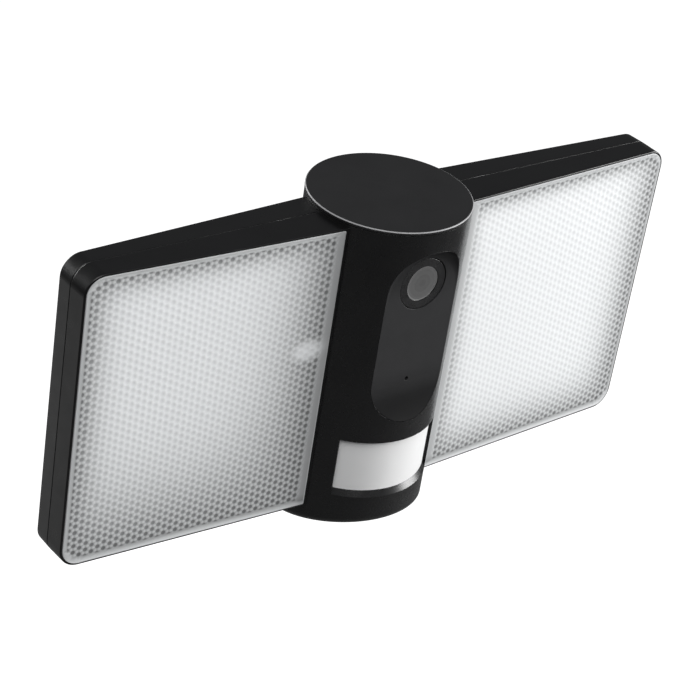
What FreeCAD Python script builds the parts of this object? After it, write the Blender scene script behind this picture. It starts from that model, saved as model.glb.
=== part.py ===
"""Floodlight security camera: a cylindrical head with two flat light panels on a pan and tilt wall mount.

The row frame stands on the wall: the origin is the centre of the wall gasket's back face, +Z is up,
+X runs along the two panels and the camera looks along -Y. Lengths are in millimetres.

Four working frames keep the numbers short, and each sub-part's Placement carries its frame:
  mount   the row frame itself
  head    on the camera cylinder's axis, at the top of the cap
  panel   on the right panel's front plane, at its inner edge, turned by the panel's sweep
  under   on the head's sloping underside, where it crosses the cylinder's axis
"""
import FreeCAD, Part
import Sketcher
import os
import re

from FreeCAD import Vector

DRIVING = [
    ("wall_to_axis", 104, "cylinder axis in front of the wall"),
    ("cap_height", 129, "top of the cap above the mount's centre"),
    ("cap_radius", 42.4, "top cap"),
    ("cap_edge", 1.6, "visible thickness of the cap's rim"),
    ("cap_round", 0.6, "rounded top edge of the cap"),
    ("cap_gap", 0.4, "shadow gap between cap and body"),
    ("body_radius", 42.25, "camera cylinder"),
    ("body_wall", 2.5, "cylinder wall"),
    ("body_height", 180.9, "cap top to underside, on the axis"),
    ("under_slope", 12.5, "underside slope in degrees, lower at the back"),
    ("under_wall", 4, "thickness of the cylinder's floor"),
    ("under_round", 4, "rounded edge of the underside"),
    ("panel_width", 140.6, "diffuser"),
    ("panel_tall", 161.1, "diffuser"),
    ("panel_drop", 4.6, "top of the diffuser below the cap top"),
    ("panel_inner", 39.9, "diffuser's inner edge from the axis"),
    ("panel_front", 18.5, "diffuser's inner edge in front of the axis"),
    ("panel_sweep", 3.1, "panel turned back, in degrees"),
    ("panel_round", 9.5, "diffuser's outer corners"),
    ("panel_lip", 1.4, "housing rim round the diffuser"),
    ("rear_root", 17.3, "back of the panel behind the axis, at the cylinder"),
    ("rear_tip", 11.2, "back of the panel behind the axis, at the tip"),
    ("parting", 1, "split between front frame and back shell, behind the axis"),
    ("draft_front", 1, "mould draft of the front frame in degrees"),
    ("draft_rear", 1.5, "mould draft of the back shell in degrees"),
    ("panel_wall", 3, "panel housing wall"),
    ("edge_round", 0.5, "softened edges of the panel mouldings"),
    ("lens_thick", 3.2, "diffuser thickness"),
    ("lens_proud", 0.4, "diffuser stands out of its rim"),
    ("seal_thick", 1, "diffuser seal"),
    ("board_depth", 9.8, "front of the light board behind the panel's front plane"),
    ("board_thick", 1.6, "circuit boards"),
    ("face_depth", 35.8, "flat face plate in front of the axis"),
    ("face_half", 22.4, "half the width of the face plate"),
    ("face_top", 35, "centre of the plate's upper round end below the cap top"),
    ("face_bottom", 88.5, "centre of the plate's lower round end below the cap top"),
    ("face_thick", 2.5, "face plate"),
    ("scoop_radius", 41, "curve that carries the plate's lower end out to the cylinder"),
    ("cove_radius", 27.5, "plan radius of the cove over the camera"),
    ("cove_round", 6.4, "hollow round at the foot of that cove"),
    ("camera_drop", 33.7, "camera axis below the cap top"),
    ("ring_radius", 13.9, "camera bezel"),
    ("glass_radius", 9.5, "camera window"),
    ("mic_drop", 89, "microphone hole below the cap top"),
    ("mic_radius", 1.15, "microphone hole"),
    ("pir_radius", 40.4, "motion sensor window's face"),
    ("pir_half", 47.5, "motion sensor window, half its angle in degrees"),
    ("pir_top", 122.2, "top edge of the sensor window below the cap top"),
    ("pir_bottom", 152.6, "bottom edge of the sensor window below the cap top"),
    ("pir_sill", 3.4, "sloping sill under the sensor window"),
    ("canopy_radius", 58, "wall canopy"),
    ("canopy_depth", 24, "wall canopy, wall to crown"),
    ("canopy_side", 10, "straight side of the canopy"),
    ("canopy_wall", 2.5, "canopy wall"),
    ("gasket_thick", 2, "wall gasket"),
    ("box_pitch", 88.9, "slot centres of the crossbar"),
    ("box_slot", 8, "slots, end to end"),
    ("box_hole", 2.4, "half the width of a slot"),
    ("canopy_pitch", 60, "canopy studs"),
    ("pan_reach", 36, "pan axis in front of the wall"),
    ("tilt_reach", 50, "tilt axis in front of the wall"),
    ("lug_radius", 9, "pivot lugs"),
    ("lug_thick", 4, "pivot lugs"),
    ("knuckle_half", 8, "half the knuckle's width at both pivots"),
    ("pivot_radius", 3, "pivot bolts"),
    ("run_gap", 0.06, "radial clearance of a turning fit"),
    ("free_gap", 0.15, "gap between parts that are set in one another"),
]
NAMES = [alias for alias, _, _ in DRIVING]

doc = FreeCAD.newDocument("FloodlightCamera")
sheet = doc.addObject("Spreadsheet::Sheet", "Sizes")
for row, (alias, value, note) in enumerate(DRIVING, start=1):
    sheet.set(f"A{row}", alias)
    sheet.set(f"B{row}", str(value))
    sheet.set(f"C{row}", note)
    sheet.setAlias(f"B{row}", alias)
doc.recompute()

WORD = re.compile(r"[a-z_]+")
FUNCTIONS = ("sqrt", "sin", "cos", "tan")
PIECES = {}


def formula(text):
    """Spreadsheet form of a size: every alias in it gets the sheet's name."""
    def qualify(match):
        word = match.group(0)
        if word in NAMES:
            return f"Sizes.{word}"
        if word in FUNCTIONS:
            return word
        raise ValueError(f"unknown size {word} in {text}")
    return WORD.sub(qualify, str(text))


def bind(thing, **sizes):
    for prop, text in sizes.items():
        thing.setExpression(prop, formula(text))


def place(thing, x=0, y=0, z=0):
    for axis, text in (("x", x), ("y", y), ("z", z)):
        thing.setExpression(f"Placement.Base.{axis}", formula(text))


# ---------------------------------------------------------------- primitives

AXIS_TURN = {"x": (Vector(0, 1, 0), 90), "y": (Vector(1, 0, 0), -90), "z": (Vector(0, 0, 1), 0)}


def turn(thing, axis, angle):
    thing.Placement.Rotation = FreeCAD.Rotation(axis, angle)


def block(x, y, z):
    """Box between two formulas on each axis."""
    thing = doc.addObject("Part::Box", "Block")
    bind(thing, Length=f"({x[1]}) - ({x[0]})", Width=f"({y[1]}) - ({y[0]})", Height=f"({z[1]}) - ({z[0]})")
    place(thing, x[0], y[0], z[0])
    return thing


def rod(radius, length, at=(0, 0, 0), axis="z"):
    """Cylinder that starts at a point and runs along a positive axis."""
    thing = doc.addObject("Part::Cylinder", "Rod")
    turn(thing, *AXIS_TURN[axis])
    bind(thing, Radius=radius, Height=length)
    place(thing, *at)
    return thing


def sector(radius, z0, z1, half_angle):
    """Slice of a cylinder about the head's axis, centred on the front."""
    thing = rod(radius, f"({z1}) - ({z0})", (0, 0, z0))
    bind(thing, Angle=f"2 * ({half_angle})")
    thing.setExpression("Placement.Rotation.Axis.x", "0")
    thing.setExpression("Placement.Rotation.Axis.y", "0")
    thing.setExpression("Placement.Rotation.Axis.z", "1")
    thing.setExpression("Placement.Rotation.Angle", formula(f"-90 - ({half_angle})"))
    return thing


def hexagon(radius, length, at, axis="z"):
    """Hexagonal prism for nuts and bolt heads."""
    thing = doc.addObject("Part::Prism", "Hexagon")
    turn(thing, *AXIS_TURN[axis])
    bind(thing, Circumradius=radius, Height=length)
    place(thing, *at)
    return thing


def join(*things):
    if len(things) == 1:
        return things[0]
    result = doc.addObject("Part::MultiFuse", "Join")
    result.Shapes = list(things)
    return result


def cut(base, *tools):
    result = doc.addObject("Part::Cut", "Cut")
    result.Base = base
    result.Tool = join(*tools)
    return result


def common(first, second):
    result = doc.addObject("Part::Common", "Common")
    result.Base = first
    result.Tool = second
    return result


def group(things):
    """Several separate solids that share one node."""
    result = doc.addObject("Part::Compound", "Group")
    result.Links = things
    return result


# ---------------------------------------------------------------- frames

HEAD_AT = (0, "-wall_to_axis", "cap_height")


def in_head(thing):
    place(thing, *HEAD_AT)


def in_panel(thing, in_row=True):
    """Panel frame; a cutter that works on head parts leaves out the head's own shift."""
    turn(thing, Vector(0, 0, 1), 1)
    thing.setExpression("Placement.Rotation.Angle", formula("panel_sweep"))
    if in_row:
        place(thing, "panel_inner", "-wall_to_axis - panel_front", "cap_height")
    else:
        place(thing, "panel_inner", "-panel_front", 0)


def in_mount(thing):
    place(thing)


def piece(label, thing, frame=in_head):
    """Finish one sub-part: its label names its file, its placement carries its frame.

    A bare primitive already uses its own placement, so it is wrapped first.
    """
    if thing.TypeId in ("Part::Box", "Part::Cylinder"):
        thing = group([thing])
    thing.Label = label
    if frame:
        frame(thing)
    PIECES[label] = thing
    return thing


def mirror(source, normal=Vector(1, 0, 0)):
    """The same shape on the other side of a plane through the origin."""
    thing = doc.addObject("Part::Mirroring", "Mirror")
    thing.Source = source
    thing.Normal = normal
    return thing


# ---------------------------------------------------------------- rounded plates

def origin_plane(body, role):
    return next(f for f in body.Origin.OriginFeatures if f.Role == role)


def plate(x, z, y, outer_round, inner_round=0.8, draft=0):
    """Upright plate in the XZ plane with rounded corners, the far pair and the near pair each alike.

    It runs from the first y to the second. A draft narrows it by that angle along the way.
    """
    body = doc.addObject("PartDesign::Body", "Plate")
    sketch = body.newObject("Sketcher::SketchObject", "Outline")
    sketch.AttachmentSupport = (origin_plane(body, "XZ_Plane"), [""])
    sketch.MapMode = "FlatFace"
    sketch.setExpression("AttachmentOffset.Base.z", formula(f"-({y[0]})"))

    left, right, low, high = 0.0, 100.0, 0.0, 100.0
    big, small = 9.0, 2.0
    quarter = 1.5707963
    arcs = [(right - big, low + big, big, -quarter, 0), (right - big, high - big, big, 0, quarter),
            (left + small, high - small, small, quarter, 2 * quarter),
            (left + small, low + small, small, 2 * quarter, 3 * quarter)]
    for cx, cy, r, start, end in arcs:
        sketch.addGeometry(Part.ArcOfCircle(Part.Circle(Vector(cx, cy, 0), Vector(0, 0, 1), r), start, end))
    lines = [((left + small, low), (right - big, low)), ((right, low + big), (right, high - big)),
             ((right - big, high), (left + small, high)), ((left, high - small), (left, low + small))]
    for start, end in lines:
        sketch.addGeometry(Part.LineSegment(Vector(*start, 0), Vector(*end, 0)))

    def fix(kind, *ends):
        return sketch.addConstraint(Sketcher.Constraint(kind, *ends))

    arc_low_right, arc_high_right, arc_high_left, arc_low_left = range(4)
    bottom, right_side, top, left_side = range(4, 8)
    first, last = 1, 2
    for line, arc, line_end, arc_end in (
            (bottom, arc_low_right, last, first), (right_side, arc_low_right, first, last),
            (right_side, arc_high_right, last, first), (top, arc_high_right, first, last),
            (top, arc_high_left, last, first), (left_side, arc_high_left, first, last),
            (left_side, arc_low_left, last, first), (bottom, arc_low_left, first, last)):
        fix("Tangent", line, line_end, arc, arc_end)
    for line in (bottom, top):
        fix("Horizontal", line)
    for line in (left_side, right_side):
        fix("Vertical", line)
    fix("Equal", arc_low_right, arc_high_right)
    fix("Equal", arc_low_left, arc_high_left)
    driven = [("Radius", (arc_low_right,), big, outer_round),
              ("Radius", (arc_low_left,), small, inner_round),
              ("DistanceX", (-1, 1, left_side, 1), left, x[0]),
              ("DistanceX", (-1, 1, right_side, 1), right, x[1]),
              ("DistanceY", (-1, 1, bottom, 1), low, z[0]),
              ("DistanceY", (-1, 1, top, 1), high, z[1])]
    for kind, ends, value, text in driven:
        index = fix(kind, *ends, value)
        sketch.setExpression(f"Constraints[{index}]", formula(text))

    pad = body.newObject("PartDesign::Pad", "Thickness")
    pad.Profile = sketch
    pad.Reversed = True
    bind(pad, Length=f"({y[1]}) - ({y[0]})")
    if draft:
        bind(pad, TaperAngle=f"-({draft})")
    return body


# ---------------------------------------------------------------- camera head

def dress(thing, wanted, size):
    """Round the edges of a solid that a test picks."""
    doc.recompute()
    picked = [i for i, edge in enumerate(thing.Shape.Edges, start=1) if wanted(edge.BoundBox)]
    dressed = doc.addObject("Part::Fillet", "Round")
    dressed.Base = thing
    dressed.Edges = [(i, size, size) for i in picked]
    return dressed


def square_to_underside(thing, x, y, z):
    """Turn a primitive with the underside and start it at a point of the underside's own frame."""
    thing.Placement.Rotation = FreeCAD.Rotation(Vector(1, 0, 0), 1)
    thing.setExpression("Placement.Rotation.Angle", formula("-under_slope"))
    place(thing, x, f"({y}) * cos(under_slope) + ({z}) * sin(under_slope)",
          f"-body_height - ({y}) * sin(under_slope) + ({z}) * cos(under_slope)")
    return thing


def under_block(x, y, z):
    size = doc.addObject("Part::Box", "Block")
    bind(size, Length=f"({x[1]}) - ({x[0]})", Width=f"({y[1]}) - ({y[0]})", Height=f"({z[1]}) - ({z[0]})")
    return square_to_underside(size, x[0], y[0], z[0])


def under_rod(radius, x, y, z):
    thing = doc.addObject("Part::Cylinder", "Rod")
    bind(thing, Radius=radius, Height=f"({z[1]}) - ({z[0]})")
    return square_to_underside(thing, x, y, z[0])


def below_underside(depth):
    """Everything below a plane that lies parallel to the underside, a depth inside it."""
    return under_block((-80, 80), (-80, 80), (-60, depth))


def door_rod(radius, x):
    """Rod along the service door's hinge axis."""
    thing = rod(radius, f"({x[1]}) - ({x[0]})", (0, 0, 0), "x")
    y, z = DOOR_HINGE
    place(thing, x[0], f"{y} * cos(under_slope) + {z} * sin(under_slope)",
          f"-body_height - {y} * sin(under_slope) + {z} * cos(under_slope)")
    return thing


def head_rod(radius, y, x=0, z=0):
    """Hole or pin along Y between two depths."""
    return rod(radius, f"({y[1]}) - ({y[0]})", (x, y[0], z), "y")


def cross_recess(y, x, z, half):
    """Driver recess of a screw head that faces along Y."""
    blade = 0.36
    arms = ((half, blade), (blade, half))
    return [block((f"{x} - {w}", f"{x} + {w}"), y, (f"{z} - {h}", f"{z} + {h}")) for w, h in arms]


ROOT_SCREW_DROPS = (28, 60, 105, 142)
ROOT_SCREW_BACK = 8
LEAD_FRONT = 10
LEAD_DROP = 76.7
GLAND_Z = -32
FACE_BACK = "-face_depth + face_thick"
MODULE_BACK = f"{FACE_BACK} + 22"
CAP_FOOT = "-cap_edge - cap_gap"
SKIRT = "body_radius - body_wall - free_gap"
BRACKET_BACK = "body_radius + 3"
WASHER_ROOM = 1.4
LUG_OUT = f"knuckle_half + {WASHER_ROOM} + lug_thick"
LUG_STARTS = (f"knuckle_half + {WASHER_ROOM}", f"-knuckle_half - {WASHER_ROOM} - lug_thick")
BRACKET_SCREWS = [(x, z) for x in (-8, 8) for z in (-15, 15)]
LID_SCREWS = [(x, y) for x in (-20.8, 20.8) for y in (-20.8, 20.8)]
DOOR_HINGE = (18.1, 0.95)


def face_outline(half):
    """Long plate with round ends, from in front of the cylinder to the back of the face plate."""
    end_round = f"{half} - 0.02"
    return plate((f"-({half})", half), (f"-face_bottom - ({half})", f"-face_top + {half}"),
                 ("-60", FACE_BACK), end_round, end_round)


def body_shell():
    outer = cut(rod("body_radius", f"210 + ({CAP_FOOT})", (0, 0, -210)), below_underside(0))
    lowest = -sheet.get("body_height") + 30
    outer = dress(outer, lambda box: box.ZMax < lowest and box.YLength > 1,
                  sheet.get("under_round"))
    room = cut(rod("body_radius - body_wall", 230, (0, 0, -210)), below_underside("under_wall"))
    tub_wall = common(rod("body_radius - body_wall + 0.5", 107, (0, 0, -115)),
                      block(("-40", "40"), (FACE_BACK, f"{FACE_BACK} + 2.2"), ("-115", "-8")))
    pocket = face_outline("face_half + free_gap")
    lens_hole = head_rod("glass_radius - 0.6", ("-40", "-25"), z="-camera_drop")
    mic_hole = head_rod("mic_radius", ("-40", "-25"), z="-mic_drop")
    window = cut(sector("60", "-pir_bottom", "-pir_top", "pir_half"), rod("30", 60, (0, 0, -170)))
    sill_cone = doc.addObject("Part::Cone", "Sill")
    bind(sill_cone, Radius1="body_radius + 0.05", Radius2="pir_radius", Height="pir_sill")
    place(sill_cone, 0, 0, "-pir_bottom - pir_sill")
    sill = cut(sector("60", "-pir_bottom - pir_sill", "-pir_bottom + 0.1", "pir_half"), sill_cone)
    drill = [rod("1.6", 90, (-45, ROOT_SCREW_BACK, -drop), "x") for drop in ROOT_SCREW_DROPS]
    leads = rod("4.05", 90, (-45, -LEAD_FRONT, -LEAD_DROP), "x")
    bosses = [head_rod("3.6", ("34", "40"), x, f"-cap_height + {z}") for x, z in BRACKET_SCREWS]
    boss_holes = [head_rod("1.75", ("33", "46"), x, f"-cap_height + {z}") for x, z in BRACKET_SCREWS]
    gland_hole = head_rod("5.05", ("30", "46"), z=f"-cap_height + {GLAND_Z}")
    recess = under_rod(33.15, 0, 0, (-5, 2))
    through = under_rod(26.15, 0, 0, (-5, 12))
    lid_holes = [under_rod(1.3, x, y, (-1, 9)) for x, y in LID_SCREWS]
    lid_bosses = [under_rod(3, x, y, (2.5, 8)) for x, y in LID_SCREWS]
    shell = join(cut(outer, room), tub_wall, *bosses, *lid_bosses)
    return cut(shell, pocket, lens_hole, mic_hole, window, sill, *drill, leads, *boss_holes, gland_hole,
               recess, through, *lid_holes)


def top_cap():
    disc = rod("cap_radius", "cap_edge", (0, 0, "-cap_edge"))
    edge = dress(disc, lambda box: box.ZMin > -0.01, sheet.get("cap_round"))
    skirt = cut(rod(SKIRT, 6, (0, 0, "-cap_edge - 6")),
                rod("body_radius - body_wall - 2.4", 8, (0, 0, "-cap_edge - 7")))
    return join(edge, skirt)


def top_seal():
    return cut(rod("body_radius - 1", "cap_gap", (0, 0, CAP_FOOT)), rod(f"{SKIRT} + 0.05", 2, (0, 0, -3)))


def face_plate():
    """Flat plate round the camera; a hollow round leads up to its top and a long scoop to its foot."""
    solid = common(face_outline("face_half"), rod("body_radius", 130, (0, 0, -125)))
    cove_centre = "-face_top + face_half - cove_radius - 0.5"
    flat = block(("-40", "40"), ("-60", "-face_depth"), ("-face_bottom", cove_centre))
    scoop = rod("scoop_radius", 80, (-40, "-face_depth - scoop_radius", "-face_bottom"), "x")
    cove = head_rod("cove_radius", ("-60", "-face_depth"), z=cove_centre)
    floor = -sheet.get("face_depth") - 0.01
    cove = dress(cove, lambda box: box.YMin > floor, sheet.get("cove_round"))
    lens_hole = head_rod("ring_radius + 0.4", ("-50", "-30"), z="-camera_drop")
    mic_hole = head_rod("mic_radius", ("-50", "-30"), z="-mic_drop")
    return cut(solid, flat, scoop, cove, lens_hole, mic_hole)


def lens_bezel():
    return cut(head_rod("ring_radius", ("-face_depth + 0.3", FACE_BACK), z="-camera_drop"),
               head_rod("glass_radius + 0.1", ("-50", "-30"), z="-camera_drop"))


def lens_window():
    return head_rod("glass_radius", ("-face_depth + 0.7", FACE_BACK), z="-camera_drop")


def camera_module():
    barrel_foot = f"{FACE_BACK} + 13"
    barrel = head_rod("glass_radius - 1.5", (f"{FACE_BACK} + 0.2", barrel_foot), z="-camera_drop")
    base = block(("-10", "10"), (barrel_foot, MODULE_BACK), ("-camera_drop - 10", "-camera_drop + 10"))
    return join(barrel, base)


def camera_board():
    return block(("-14", "14"), (MODULE_BACK, f"{MODULE_BACK} + board_thick"),
                 ("-camera_drop - 15", "-camera_drop + 15"))


def pir_window():
    face = sector("pir_radius", "-pir_bottom + 0.1", "-pir_top - 0.1", "pir_half - 0.2")
    flange = sector("body_radius - body_wall - 0.1", "-pir_bottom - 1.6", "-pir_top + 2", "pir_half + 4")
    return cut(join(face, flange), rod("pir_radius - 2", 60, (0, 0, -170)))


def pir_sensor():
    can = head_rod("4.6", ("-16", "-11.6"), z="-137")
    board = block(("-13", "13"), ("-11.6", "-10"), ("-147", "-127"))
    return join(can, board)


def microphone():
    return block(("-2.5", "2.5"), (f"{FACE_BACK} + 2.4", f"{FACE_BACK} + 4"),
                 ("-mic_drop - 2", "-mic_drop + 2"))


def bottom_cover():
    disc = under_rod(33, 0, 0, (0, 1.4))
    plug = under_rod(26, 0, 0, (1.4, 3.2))
    pad = under_block((-12, 12), (4.6, 21), (1.4, 8))
    slots = [under_block((-10, 10), (-21 + 3.6 * i, -19.4 + 3.6 * i), (-1, 6)) for i in range(5)]
    recess = under_block((-9.8, 9.8), (6.7, 19.4), (-1, 2))
    pocket = under_block((-8.5, 8.5), (8.5, 17), (-1, 4.5))
    bore = under_rod(1.9, 5, 12.7, (-1, 11))
    card = under_block((-9, 1.5), (12.1, 13.3), (-1, 12))
    pin_hole = door_rod(0.66, (-11, 11))
    screw_holes = [under_rod(1.7, x, y, (-1, 5)) for x, y in LID_SCREWS]
    return cut(join(disc, plug, pad), *slots, recess, pocket, bore, card, pin_hole, *screw_holes)


def bottom_seal():
    ring = cut(under_rod(32.5, 0, 0, (1.4, 2)), under_rod(26.2, 0, 0, (0, 3)))
    return cut(ring, *[under_rod(1.7, x, y, (0, 5)) for x, y in LID_SCREWS])


def service_door():
    flap = under_block((-9.5, 9.5), (7, DOOR_HINGE[0]), (DOOR_HINGE[1] - 0.9, DOOR_HINGE[1] + 0.9))
    return join(flap, door_rod(0.9, (-9.5, 9.5)), door_rod(0.6, (-10.5, 10.5)))


def reset_button():
    return join(under_rod(1.8, 5, 12.7, (2.8, 9.2)), under_rod(2.6, 5, 12.7, (8.25, 9.15)))


def card_slot():
    return cut(under_block((-10, 2.2), (11, 14.4), (8.1, 24)), under_block((-9, 1.5), (12.1, 13.3), (8, 22)))


def speaker():
    return join(under_rod(13, 0, -12, (3.6, 6.6)), under_rod(9, 0, -12, (6.6, 11.6)))


def chassis():
    web = block(("-39.4", "39.4"), ("1", "3"), ("-158", "-10"))
    window = block(("-16", "16"), ("0", "4"), ("-150", "-122"))
    posts = [head_rod("2.6", ("-2", "1"), x, z) for x in (-27, 27) for z in (-16, -114)]
    rear_posts = [head_rod("2.6", ("3", "6"), x, z) for x in (-27, 27) for z in (-24, -114)]
    return cut(join(web, *posts, *rear_posts), window)


def main_board():
    return block(("-30", "30"), ("-2 - board_thick", "-2"), ("-118", "-12"))


def board_chips():
    """Packages on the two circuit boards, at the places a layout would give them."""
    front = "-2 - board_thick"
    parts = [block((x - w / 2, x + w / 2), (f"{front} - {t}", front), (z - d / 2, z + d / 2))
             for x, z, w, d, t in ((0, -62, 17, 17, 1.4), (-17, -84, 12, 9, 1.1), (15, -88, 9, 12, 1.1),
                                   (-18, -26, 15, 13, 2.2), (18, -108, 8, 8, 3))]
    rear = "6 + board_thick"
    parts += [block((x - w / 2, x + w / 2), (rear, f"{rear} + {t}"), (z - d / 2, z + d / 2))
              for x, z, w, d, t in ((-12, -48, 22, 24, 18), (15, -92, 18, 14, 12), (-16, -98, 10, 22, 8))]
    parts += [head_rod(r, (rear, f"{rear} + {t}"), x, z)
              for x, z, r, t in ((14, -40, 6.3, 20), (14, -58, 5, 16), (0, -80, 4, 12))]
    return group(parts)


def heat_sink():
    base_back = "-2 - board_thick - 1.4"
    base = block(("-12", "12"), (f"{base_back} - 2", base_back), ("-74", "-50"))
    fins = [block((-12 + 5.5 * i, -10 + 5.5 * i), (f"{base_back} - 10", f"{base_back} - 1"), ("-74", "-50"))
            for i in range(5)]
    return join(base, *fins)


def power_board():
    return block(("-30", "30"), ("6", "6 + board_thick"), ("-118", "-20"))


def rear_bracket():
    middle = "-cap_height"
    tilt = "wall_to_axis - tilt_reach"
    base = cut(block(("-13.4", "13.4"), ("36", BRACKET_BACK), (f"{middle} - 20", f"{middle} + 20")),
               rod("body_radius + 0.1", 60, (0, 0, f"{middle} - 30")))
    height = (f"{middle} - lug_radius", f"{middle} + lug_radius")
    lugs = []
    for near in LUG_STARTS:
        lugs.append(block((near, f"{near} + lug_thick"), (f"{BRACKET_BACK} - 1", tilt), height))
        lugs.append(rod("lug_radius", "lug_thick", (near, tilt, middle), "x"))
    pivot = rod("pivot_radius + 0.02", 60, (-30, tilt, middle), "x")
    holes = [head_rod("2.1", ("30", "50"), x, f"{middle} + {z}") for x, z in BRACKET_SCREWS]
    return cut(join(base, *lugs), pivot, *holes)


def head_gland():
    z = f"-cap_height + {GLAND_Z}"
    body = join(head_rod("5", ("36", "44"), z=z), head_rod("7", ("42.6", "45"), z=z))
    return cut(body, head_rod("3", ("30", "50"), z=z))


def core_screws():
    """Screws of the rear bracket and of the bottom cover."""
    screws = []
    for x, row in BRACKET_SCREWS:
        z = f"-cap_height + {row}"
        body = join(head_rod("1.7", ("34.5", f"{BRACKET_BACK} + 0.2"), x, z),
                    head_rod("3.2", (BRACKET_BACK, f"{BRACKET_BACK} + 2.4"), x, z))
        screws.append(cut(body, *cross_recess((f"{BRACKET_BACK} + 1.2", f"{BRACKET_BACK} + 3"), x, z, 1.7)))
    for x, y in LID_SCREWS:
        body = join(under_rod(1.25, x, y, (0.3, 6.3)), under_rod(1.6, x, y, (0.1, 1)))
        arms = [under_block((x - w, x + w), (y - d, y + d), (0, 0.6))
                for w, d in ((0.95, 0.22), (0.22, 0.95))]
        screws.append(cut(body, *arms))
    return group(screws)


HEAD_PIECES = (body_shell, top_cap, top_seal, face_plate, lens_bezel, lens_window, camera_module,
               camera_board, pir_window, pir_sensor, microphone, bottom_cover, bottom_seal, service_door,
               reset_button, card_slot, speaker, chassis, main_board, board_chips, heat_sink, power_board,
               rear_bracket, head_gland,
               core_screws)
for make in HEAD_PIECES:
    piece(make.__name__, make())


# ---------------------------------------------------------------- light panels

PANEL_TIP = "(panel_inner + (panel_width + panel_lip) * cos(panel_sweep))"


def panel_wedge(inset):
    """Plan of a panel: a wedge in plan view that thins from the cylinder to the tip."""
    thing = doc.addObject("Part::Wedge", "Plan")
    rear_taper = f"(rear_root - rear_tip) / ({PANEL_TIP} - panel_inner)"
    bind(thing, Ymin="30", Ymax=f"{PANEL_TIP} - ({inset})", Zmin="-220", Zmax="20", Z2min="-220", Z2max="20",
         Xmin=f"-rear_root + ({inset}) - {rear_taper} * (panel_inner - 30)",
         Xmax="panel_front + (panel_inner - 30) * tan(panel_sweep)",
         X2min=f"-rear_tip + ({inset}) - {rear_taper} * ({inset})",
         X2max=f"panel_front - (panel_width + panel_lip) * sin(panel_sweep) + ({inset}) * tan(panel_sweep)")
    turn(thing, Vector(0, 0, 1), -90)
    return thing


def housing_outline(y, inset, draft):
    return plate(("30", f"{PANEL_TIP} - ({inset})"),
                 (f"-panel_drop - panel_tall - panel_lip + ({inset})",
                  f"-panel_drop + panel_lip - ({inset})"),
                 y, f"panel_round + panel_lip - ({inset}) * 0.8", draft=draft)


def body_room(extra):
    return rod(f"body_radius + 0.1 + ({extra})", 230, (0, 0, -210))


def diffuser_outline(inset, y, inner_round=0.8):
    return plate((f"{inset}", f"panel_width - ({inset})"),
                 (f"-panel_drop - panel_tall + ({inset})", f"-panel_drop - ({inset})"), y,
                 f"panel_round - ({inset}) * 0.8", inner_round)


WING_SCREWS = [(x, z) for x in (54, 112, 168) for z in (-8.8, -161.4)]
BOARD_SCREWS = [(x, z) for x in (11.5, 131.5) for z in (-24, -146)]


def rear_at(x):
    """Back face of a panel at a distance along X, as a formula."""
    return f"rear_root - (rear_root - rear_tip) * ({x} - panel_inner) / (panel_width + panel_lip)"


def panel_room():
    """Hollow of a panel, shared by the front frame and the back shell."""
    prism = housing_outline(("-45", "30"), "panel_wall", 0)
    return cut(common(prism, panel_wedge("panel_wall")), body_room("panel_wall"))


def soften(half, front, rear):
    """Round a moulding's edges that lie wholly before one depth or wholly behind another."""
    return dress(half, lambda box: box.YMax < front or box.YMin > rear, sheet.get("edge_round"))


def wing_frame():
    """Front half of a panel's housing: rim, ledge for the diffuser and side walls."""
    outline = housing_outline(("-parting", "40"), "0", "draft_front")
    half = common(mirror(outline, Vector(0, 1, 0)), panel_wedge("0"))
    half = soften(half, -sheet.get("rear_tip") + 2, sheet.get("parting") - 0.01)
    half = cut(half, body_room("0"))
    mouth = diffuser_outline("-free_gap", ("-20", "lens_thick - lens_proud + seal_thick"))
    in_panel(mouth, in_row=False)
    room = panel_room()
    bosses = [head_rod("3.4", ("-6", "parting"), x, z) for x, z in WING_SCREWS]
    holes = [head_rod("1.25", ("-5", "parting + 1"), x, z) for x, z in WING_SCREWS]
    lead = rod("4.05", 30, (30, -LEAD_FRONT, -LEAD_DROP), "x")
    return cut(join(cut(half, room), *bosses), mouth, *holes, lead)


def wing_back():
    """Back shell of a panel, with cooling grooves, posts for the light board and bosses for screws."""
    half = common(housing_outline(("parting", "40"), "0", "draft_rear"), panel_wedge("0"))
    half = soften(half, sheet.get("parting") + 0.01, sheet.get("rear_tip") - 0.5)
    half = cut(half, body_room("0"))
    bosses = [head_rod("3.4", ("parting", "20"), x, z) for x, z in WING_SCREWS]
    root_bosses = [rod("3.6", 9, (43, ROOT_SCREW_BACK, -drop), "x") for drop in ROOT_SCREW_DROPS]
    posts = join(*[head_rod("3", ("board_depth + board_thick", "40"), x, z) for x, z in BOARD_SCREWS])
    in_panel(posts, in_row=False)
    shell = join(cut(half, panel_room()), common(join(*bosses, *root_bosses, posts), half))
    grooves = [block((x, x + 5), (f"{rear_at(x)} - 1.2", "40"), ("-140", "-30")) for x in range(66, 160, 10)]
    holes = [head_rod("1.6", ("-2", "22"), x, z) for x, z in WING_SCREWS]
    sinks = [head_rod("2.9", (f"{rear_at(x)} - 2.4", "24"), x, z) for x, z in WING_SCREWS]
    root_holes = [rod("1.55", 14, (36, ROOT_SCREW_BACK, -drop), "x") for drop in ROOT_SCREW_DROPS]
    bores = [head_rod("1.1", ("board_depth", "board_depth + 7.5"), x, z) for x, z in BOARD_SCREWS]
    board_holes = join(*bores)
    in_panel(board_holes, in_row=False)
    return cut(shell, *grooves, *holes, *sinks, *root_holes, board_holes)


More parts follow.
